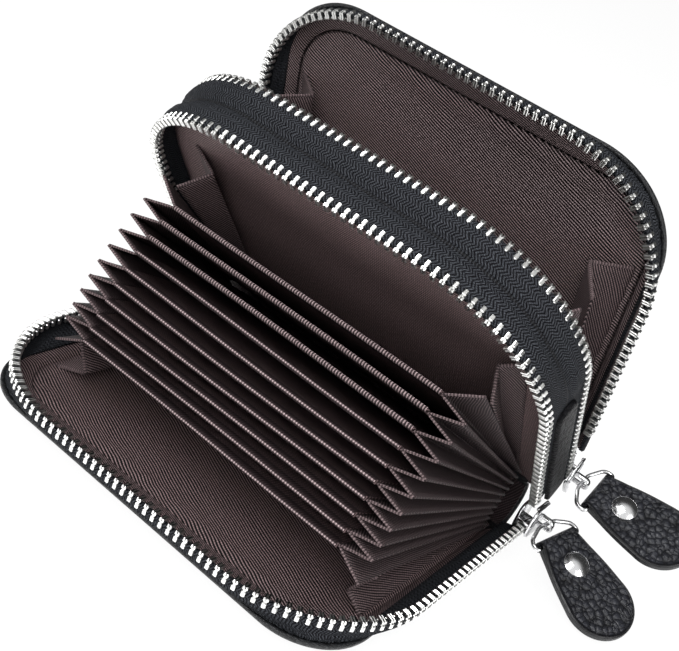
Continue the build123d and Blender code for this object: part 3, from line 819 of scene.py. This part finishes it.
def fold_sheet(b, leaf, rise, lines, count, top, base, soft):
    """A folded sheet, whose top row it returns; lines are the creases as (x at top, rise at top, x at base,
    rise at base)."""
    rows, uvs = [], []
    for r in range(25):
        share = r / 24
        reach = base + (top - base) * share
        creases = [(p[2] + (p[0] - p[2]) * share, p[3] + (p[1] - p[3]) * share) for p in lines]
        row, uv, run, last = [], [], 0.0, None
        for k, ((x0, h0), (x1, h1)) in enumerate(zip(creases, creases[1:])):
            sign = 1 if k % 2 else -1
            for j in range(count + (k == len(lines) - 2)):
                part = j / count
                belly = soft * sign * math.sin(math.pi * part) * math.sin(math.pi * min(1, share * 1.1))
                spot = (x0 + (x1 - x0) * part, h0 + (h1 - h0) * part + belly)
                run += math.dist(spot, last or spot)
                last = spot
                row.append(leaf.at(spot[0], reach, rise + spot[1]))
                uv.append((run, reach))
        rows.append(row)
        uvs.append(uv)
    b.grid(rows, uvs)
    return rows[-1]


def edging(b, points, radius):
    """A thin piped edge along a line of points, in the second material, painted bright as a highlight on the
    fold.
    """
    clean = [points[0]]
    for p in points[1:]:
        if (p - clean[-1]).length > 1e-5:
            clean.append(p)
    rows, uvs, run = [], [], 0.0
    for k, p in enumerate(clean):
        ahead = (clean[min(k + 1, len(clean) - 1)] - clean[max(k - 1, 0)]).normalized()
        side = ahead.cross(Vector((0.3, 0.2, 0.93))).normalized()
        lift = side.cross(ahead)
        run += (p - clean[max(k - 1, 0)]).length / MM
        rows.append([p + (side * math.cos(a) + lift * math.sin(a)) * radius * MM for a in around(8)])
        uvs.append([(run, 0.0)] * 9)
    b.grid(rows, uvs, mat=1)


def flatten(obj, leaf, rise):
    tuple(leaf.up)
    tuple(leaf.at(0, 30, rise))
    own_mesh(obj)


def card_gusset(i):
    angle, rise, depth = divider_angle(i), divider_rise(i), divider_depth(i)
    leaf = Leaf((0, 0, PIVOT), angle)
    top = depth - 1.0

    def crease(reach, other, toward):
        """Half way to the next divider, or part of the way to the leaf."""
        if other is None:
            return 0
        if 0 <= other < COUNT:
            spread = math.radians(abs(divider_angle(other) - angle))
            return toward * ((DIVIDER_GAP + reach * math.sin(spread)) / 2 - 0.08)
        wedge = math.radians(LAST_ANGLE if toward < 0 else MIDDLE_OPEN - FIRST_ANGLE)
        return toward * (OFFSET - abs(rise) + reach * math.sin(wedge)) * 0.24

    b = Builder()
    creases = ((42.5, 44.9, i + 1, -1), (TOP_HALF + 0.1, BASE_HALF + 0.1, None, 0), (42.5, 44.9, i - 1, 1))
    for side in (-1, 1):
        lines = [(SHIFT + side * x_top, crease(top, *other), SHIFT + side * x_base, crease(FOLD_BASE, *other))
                 for x_top, x_base, *other in creases]
        edging(b, fold_sheet(b, leaf, rise, lines, 6, top, FOLD_BASE, 0.12), 0.12)
    node = f"card_gusset_{i + 1:02d}"
    # the cards' folds take the gusset cloth painted in shade
    obj = b.done(f"fold_{i + 1:02d}", f"card_divider_{i + 1:02d}", [shaded_card_twill, fold_edge_highlight], node)
    thicken(obj, 0.3, 0)
    flatten(obj, leaf, rise)


FOLD_BASE = 4.0
for i in range(COUNT):
    divider(i)
    card_gusset(i)


# ---------------- wide side folds of the covers
def wide_fold(name, body, leaf, surface, toward, wedge, base_gap, fold, node):
    """fold is (reach, shift, then a (half, share of the gap) for each crease)."""
    reach, shift, *creases = fold
    gap_top, gap_base = (toward * (base_gap + d * math.sin(math.radians(wedge))) for d in (reach, FOLD_BASE))
    b = Builder()
    for side in (-1, 1):
        lines = []
        for half, share in creases:
            x = side * half + (shift if share else 0)
            lines.append((x, gap_top * share, x, gap_base * share))
        edging(b, fold_sheet(b, leaf, surface, lines, 8, reach, FOLD_BASE, 0.35), 0.2)
    # the wide folds take the gusset cloth painted as lit
    obj = b.done(name, body, [lit_gusset_twill, fold_edge_highlight], node)
    thicken(obj, 0.35, 0)
    flatten(obj, leaf, surface)


GAP, REAR_GAP = OFFSET - divider_rise(0), 2 * OFFSET - BOARD
FRONT_FOLD = (53.0, SHIFT, (45.0, 0), (38.5, 0.24), (42.5, 0.72))
REAR_FOLD = (52.5, 0, (46.5, 0), (38.5, 0.17), (45.0, 0.45))
wide_fold("fold_front_cover", "front_cover", front, -OFFSET, 1, LAST_ANGLE, GAP, FRONT_FOLD,
          "front_cover_gussets")
wide_fold("fold_middle_front", "middle_leaf", middle, OFFSET - BOARD, -1, MIDDLE_OPEN - FIRST_ANGLE,
          GAP - BOARD, FRONT_FOLD, "middle_front_gussets")
wide_fold("fold_rear_cover", "rear_cover", rear, OFFSET, -1, REAR_OPEN, REAR_GAP, REAR_FOLD,
          "rear_cover_gussets")
wide_fold("fold_middle_rear", "middle_leaf", middle_rear, BOARD - OFFSET, 1, REAR_OPEN, REAR_GAP, REAR_FOLD,
          "middle_rear_gussets")


# ---------------- end patches of the middle leaf
def end_patches():
    """A domed leather tongue with a round tip over each end of the middle leaf's seam."""
    start, length, half, thick = 2.6, 42.4, 3.2, 0.9
    b = Builder()
    for side in (-1, 1):
        rows, uvs = [], []
        for k in range(36):
            along = start + length * (1 - (1 - k / 35) ** 1.3)
            tip = max(0.0, along - (start + length - half))
            width = math.sqrt(max(half * half - tip * tip, 0.0004)) if tip > 0 else half
            row, uv = [], []
            for j in range(15):
                turn = math.pi * j / 14
                across = -width * math.cos(turn)
                lift = thick * min(1.0, math.sin(turn) * 2.2) * ease(half + 0.2 - tip) + 0.12 * math.sin(turn)
                row.append(middle.at(side * (HALF + 0.5 + lift), along, OFFSET + across))
                uv.append((along, across))
            rows.append(row)
            uvs.append(uv)
        b.grid(rows, uvs, flip=side < 0)
        b.face(rows[0], uvs[0], flip=side > 0)
    b.done("patches", "middle_leaf", patch_hide, "middle_end_patches")


end_patches()


# ---------------- zip teeth
def box(b, place, x0, x1, y0, y1, z0, z1, bevel, taper=1.0):
    """A block with chamfered edges; place turns (along, off, toward the gap) into a point."""
    rows = []
    for z, inset, scale in ((z0, bevel, 1), (z0 + bevel, 0, 1), (z1 - bevel, 0, taper), (z1, bevel, taper)):
        cx, cy = (x0 + x1) / 2, (y0 + y1) / 2
        hx, hy = (x1 - x0) / 2 * scale - inset, (y1 - y0) / 2 * scale - inset
        quarter = [(hx - bevel, -hy), (hx, bevel - hy), (hx, hy - bevel), (hx - bevel, hy)]
        ring = quarter + [(-x, -y) for x, y in quarter]
        rows.append([place(cx + x, cy + y, z) for x, y in ring[-1:] + ring])
    b.tube(rows)


def teeth(name, body, leaf, toward, depth, left, right, node):
    """A row of teeth: two legs over the tape's bead, a neck and a split head each."""
    row = Row(leaf, depth, left, right)
    count = int(row.length / PITCH)
    b = Builder()
    for k in range(count):
        x, d, nx, nd = row.place(row.length * (k + 0.5) / count)

        def place(a, off, z):
            return leaf.at(x + a * nd + off * nx, d - a * nx + off * nd, toward * (FAR - z))

        box(b, place, -0.44, 0.44, -1.1, -0.4, -0.05, 1.25, 0.16)
        box(b, place, -0.44, 0.44, 0.4, 1.1, -0.05, 1.25, 0.16)
        box(b, place, -0.34, 0.34, -0.85, 0.85, 1.12, 1.66, 0.1)
        box(b, place, -0.55, -0.04, -1.05, 1.05, 1.5, 2.3, 0.17, 0.9)
        box(b, place, 0.04, 0.55, -1.05, 1.05, 1.5, 2.3, 0.17, 0.9)
    b.done(name, body, nickel, node, smooth=False)


teeth("teeth_front", "front_cover", front, -1, DEPTH, 0.5, 0.5, "front_zip_teeth")
teeth("teeth_middle_front", "middle_leaf", middle, 1, DEPTH, 5.6, 5.6, "middle_front_zip_teeth")
teeth("teeth_middle_rear", "middle_leaf", middle_rear, -1, DEPTH + SETBACK, 0.5, 0.5, "middle_rear_zip_teeth")
teeth("teeth_rear", "rear_cover", rear, 1, DEPTH + SETBACK, 5.6, 10.6, "rear_zip_teeth")


# ---------------- leather pulls
class Pull:
    """The place of a pull: ahead along the tab, across it, and its normal, from the ring's seat."""

    def __init__(self, face, yaw, pitch, roll):
        yaw, pitch, roll = map(math.radians, (yaw, pitch, roll))
        self.ahead = Vector((math.cos(yaw) * math.cos(pitch), math.sin(yaw) * math.cos(pitch), math.sin(pitch)))
        side = Vector((-math.sin(yaw), math.cos(yaw), 0))
        self.normal = self.ahead.cross(side) * math.cos(roll) - side * math.sin(roll)
        self.across = self.normal.cross(self.ahead)
        self.origin = face + Vector((1.5, 0, 0))

    def at(self, t, w, z):
        return (self.origin + self.ahead * t + self.across * w + self.normal * z) * MM


def pull_tab(name, body, node, pull):
    """A strap folded over the ring at bar, whose straight sides open to a round end."""
    bar, fold_radius, neck, big = 4.6, 1.65, 5.2, 8.25
    end = bar - fold_radius + 25.8
    centre, t0 = end - big, bar + 0.4
    span = math.hypot(centre - t0, neck)
    reach = math.sqrt(span * span - big * big)
    slant = math.atan2(-neck, centre - t0) + math.asin(big / span)
    tx, ty = t0 + reach * math.cos(slant), neck + reach * math.sin(slant)
    swings = [math.sin(math.pi / 2 * (j / 12 - 1)) for j in range(25)]
    marks = [end - big * (1 - math.cos(math.pi / 2 * k / 22)) for k in range(23)]
    marks += [centre + (t0 - centre) * k / 26 for k in range(1, 27)]

    def half(t):
        if t <= t0:
            return neck
        if t <= tx:
            u = (t - t0) / (tx - t0)
            return neck + (ty - neck) * u + 0.35 * math.sin(math.pi * u)
        return math.sqrt(max(big * big - (t - centre) ** 2, 0))

    def margin(t, w):
        if t > centre:
            return max(big - math.hypot(t - centre, w), 0.0)
        return max(min(half(t) - abs(w), 9.0), 0.0)

    def surface(sign):
        rows, uvs, edges = [], [], []
        for t in marks:
            row, uv, edge = [], [], []
            for swing in swings:
                w = half(t) * swing
                e = margin(t, w)
                puff = 1.0 + 0.12 * ease(e / 2.2) - 0.34 * (1 - ease(e / 0.55))
                puff *= 1 + 0.55 * (1 - ease((t - bar - 0.2) / 4.5))
                row.append(pull.at(t, w, sign * puff))
                uv.append((w, t))
                edge.append((e, t))
            rows.append(row)
            uvs.append(uv)
            edges.append(edge)
        return rows, uvs, edges

    b = Builder()
    top, low = surface(1), surface(-1)
    b.grid(*top)
    b.grid(*low, flip=True)
    bend = [[sheet[-1]] for sheet in top]
    for k in range(13):
        turn = math.pi * k / 12
        t = bar - (fold_radius - 0.02) * math.sin(turn)
        bend[0].append([pull.at(t, neck * swing, fold_radius * math.cos(turn) * 0.985) for swing in swings])
        bend[1].append([(5.0 * (j / 12 - 1), bar - turn * fold_radius) for j in range(25)])
        bend[2].append([(5.0 * (1 - abs(swing)), 0) for swing in swings])
    for rows, sheet in zip(bend, low):
        rows.append(sheet[-1])
    b.grid(*bend)
    for j, way in ((0, -1), (24, 1)):
        strip, uv = [], []
        for k in range(7):
            z = k / 6
            bulge = 0.16 * math.sin(math.pi * z) - 0.14 * bell(z - 0.5, 0.08)
            line = []
            for t, upper, lower in zip(marks, top[0], low[0]):
                out = Vector((max(t - centre, 0), half(t) * way)).normalized() * bulge * MM
                line.append(upper[j] + (lower[j] - upper[j]) * z + pull.ahead * out.x + pull.across * out.y)
            strip.append(line)
            uv.append([(t, z * 2) for t in marks])
        b.grid(strip, uv, mat=1, flip=way > 0)
    b.done(name, body, [pull_hide, edge_paint], node)


def slider(name, body, node, leaf, roll):
    """Two rounded plates with guide flanges, the diamond between them and a flat wire bail."""
    centre, half_d, half_h, nose, tail = -1.0, 4.0, 3.9, 2.4, 0.5
    corners = ((half_d - nose, half_h - nose, nose, 90), (half_d - nose, nose - half_h, nose, 0),
               (tail - half_d, tail - half_h, tail, -90), (tail - half_d, half_h - tail, tail, -180))
    ring = []
    for cd, ch, r, first in corners:
        for k in range(9):
            a = math.radians(first - 90 * k / 8)
            ring.append((cd + r * math.cos(a), ch + r * math.sin(a)))
    ring.append(ring[0])
    dome = ((4.0, 1.4), (0.15, 1.4), (0.0, 1.5), (0.0, 1.7), (0.12, 1.92), (0.35, 2.08), (0.75, 2.2),
            (1.4, 2.27), (2.4, 2.3), (3.95, 2.3))
    b = Builder()
    for side in (-1, 1):
        rows = []
        for inset, x in dome:
            share = 1 - inset / 4.0
            rows.append([leaf.at(HALF + side * x, centre + d * share, h * share) for d, h in ring])
        b.grid(rows, flip=side > 0)

        def place(a, off, z):
            return leaf.at(HALF + side * z, a, off)

        box(b, place, -5.0, 0.6, -3.9, -3.2, 0.8, 1.5, 0.12)
        box(b, place, -5.0, 0.6, 3.2, 3.9, 0.8, 1.5, 0.12)
    box(b, lambda a, off, z: leaf.at(HALF + z, a, off), -1.0, 3.0, -0.3, 0.3, -1.4, 1.4, 0.08)
    sine, cosine = math.sin(math.radians(roll)), math.cos(math.radians(roll))
    wide, thick = Vector((0, sine, -cosine)), Vector((0, cosine, sine))
    foot = leaf.at(HALF + 2.3, -2.5, 0) / MM
    quarter = [math.pi / 12 * k for k in range(7)]
    path = [(-0.2, -1.5), (0.6, -1.5), (1.4, -1.5)]
    path += [(2.0 + 0.9 * math.sin(a), -0.6 - 0.9 * math.cos(a)) for a in quarter]
    path += [(rise, -w) for rise, w in path[::-1]]
    rows = []
    for k, (rise, w) in enumerate(path):
        p, q = path[max(k - 1, 0)], path[min(k + 1, len(path) - 1)]
        way = math.hypot(q[0] - p[0], q[1] - p[1])
        nr, nw = 0.4 * (q[1] - p[1]) / way, 0.4 * (p[0] - q[0]) / way
        rows.append([(foot + Vector((rise + nr * math.cos(a), 0, 0)) + wide * (w + nw * math.cos(a))
                      + thick * (0.7 * math.sin(a))) * MM for a in around(20)])
    b.grid(rows)
    b.done(name, body, plated, node)


def rivet(name, body, node, pull):
    """A domed cap on the tab, and the plate on its back."""
    ball = 5.0
    radii = [3.0 * math.sin(math.pi / 2 * k / 14) for k in range(14)]
    cap = [(r, 2.3 - ball + math.sqrt(ball * ball - r * r)) for r in radii]
    cap += [(2.96, 1.36), (3.0, 1.26), (3.0, 1.0)]
    b = Builder()
    for profile in (cap, [(2.6, -1.0), (2.6, -1.42), (2.5, -1.5), (0.0, -1.5)]):
        rows = [[pull.at(11.15 + r * math.cos(a), r * math.sin(a), z) for a in around(56)] for r, z in profile]
        b.grid(rows, flip=True)
    b.done(name, body, mirror, node)


FRONT_ROLL, REAR_ROLL = 18, 29.4
SEAT = Vector((HALF + 2.3, 0, 0))
front_pull = Pull(SEAT + front.origin - front.out * 2.5, -14, -16.5, FRONT_ROLL)
rear_pull = Pull(SEAT + rear_origin - middle_rear.out * 2.5, 0, -0.6, REAR_ROLL)
pull_tab("tab_front", "front_tab", "front_pull_tab", front_pull)
pull_tab("tab_rear", "rear_tab", "rear_pull_tab", rear_pull)
slider("slider_front", "front_slider", "front_slider", front, FRONT_ROLL)
slider("slider_rear", "rear_slider", "rear_slider", middle_rear, REAR_ROLL)
rivet("rivet_front", "front_tab", "front_pull_rivet", front_pull)
rivet("rivet_rear", "rear_tab", "rear_pull_rivet", rear_pull)


# ---------------- finishes of the carried-over solids
def dress(mat, *nodes):
    for node in nodes:
        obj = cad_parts[node]
        if not obj.material_slots:
            obj.data.materials.append(mat)
        for slot in obj.material_slots:
            slot.material = mat


dress(plated, "front_zip_stop", "rear_zip_stop", "front_pull_ring", "rear_pull_ring")
dress(board, "front_cover_board", "middle_board", "rear_cover_board")


# ---------------- floor, light and camera
def floor(size=1.6, z=-0.0002):
    mesh = bpy.data.meshes.new("floor")
    corners = [(-size, -size, z), (size, -size, z), (size, size, z), (-size, size, z)]
    mesh.from_pydata(corners, [], [(0, 1, 2, 3)])
    obj = link("floor", mesh)
    m = Shade("floor_white", roughness=0.9, specular_ior_level=0.1)
    path = m.new("LightPath")
    glossy = m.mul(path.outputs["Is Glossy Ray"], 0.1)
    seen = m.math("MAXIMUM", m.mul(path.outputs["Is Camera Ray"], 0.93), glossy)
    blend = m.new("MixShader")
    m.put(blend.inputs[0], m.math("MAXIMUM", seen, path.outputs["Is Transmission Ray"]))
    m.out((0.9, 0.9, 0.9, 1))
    m.put(blend.inputs[1], m.bsdf.outputs[0])
    m.put(blend.inputs[2], m.new("Emission").outputs[0])
    m.put(m.nodes["Material Output"].inputs[0], blend.outputs[0])
    mesh.materials.append(m.mat)


def studio():
    """A white surround, dim to diffuse rays, that metal sees as one bright patch above and in front."""
    world = bpy.data.worlds.new("studio")
    bpy.context.scene.world = world
    world.use_nodes = True
    w = Nodes(world.node_tree)
    background = w.nodes["Background"]
    background.inputs[0].default_value = (1, 1, 1, 1)
    path = w.new("LightPath")
    glossy = path.outputs["Is Glossy Ray"]
    cut = w.new("VectorMath")
    cut.operation = "DOT_PRODUCT"
    w.put(cut.inputs[0], w.new("TexCoord").outputs["Generated"])
    w.put(cut.inputs[1], (0.10, -0.62, 0.78))
    patch = w.mul(glossy, w.step(cut.outputs["Value"], 0.45, 0.85, 0.03, 0.8))
    plain = w.mul(w.sub(1.0, glossy), 0.42)
    seen = w.math("MAXIMUM", path.outputs["Is Camera Ray"], path.outputs["Is Transmission Ray"])
    w.put(background.inputs[1], w.math("MAXIMUM", seen, w.add(patch, plain)))


def area(name, place, size, power, glossy=True):
    light = bpy.data.lights.new(name, "AREA")
    light.shape = "RECTANGLE"
    light.size, light.size_y = size
    light.energy = power
    obj = link(name, light)
    obj.location = place
    obj.rotation_euler = (Vector((0, 0, 0.03)) - Vector(place)).to_track_quat("-Z", "Y").to_euler()
    obj.visible_glossy = glossy


def camera(place, azimuth, elevation, roll, lens):
    azimuth, elevation, roll = map(math.radians, (azimuth, elevation, roll))
    right = Vector((math.cos(azimuth), math.sin(azimuth), 0))
    back = Vector((right.y * math.cos(elevation), -right.x * math.cos(elevation), math.sin(elevation)))
    up = back.cross(right)
    c, s = math.cos(roll), math.sin(roll)
    cam = bpy.data.cameras.new("camera")
    cam.sensor_width, cam.sensor_fit, cam.lens, cam.clip_start = 36, "HORIZONTAL", lens, 0.01
    obj = link("camera", cam)
    spin = Matrix((right * c + up * s, up * c - right * s, back))
    obj.matrix_world = Matrix.Translation(Vector(place)) @ spin.transposed().to_4x4()
    bpy.context.scene.camera = obj


floor()
studio()
area("key", (-0.25, -0.45, 0.75), (0.55, 0.55), 8.0)
area("top", (0.25, 0.15, 0.8), (0.7, 0.5), 6.0, False)
area("side", (0.7, -0.25, 0.35), (0.3, 0.5), 2.5)
area("fill", (0.16, -0.50, 0.32), (0.35, 0.35), 4.2, False)
camera((0.09757, -0.2180, 0.1447), 26.11, 26.52, 22.7, 1115.6 / 679 * 36)
bpy.context.scene.view_settings.view_transform = "Standard"
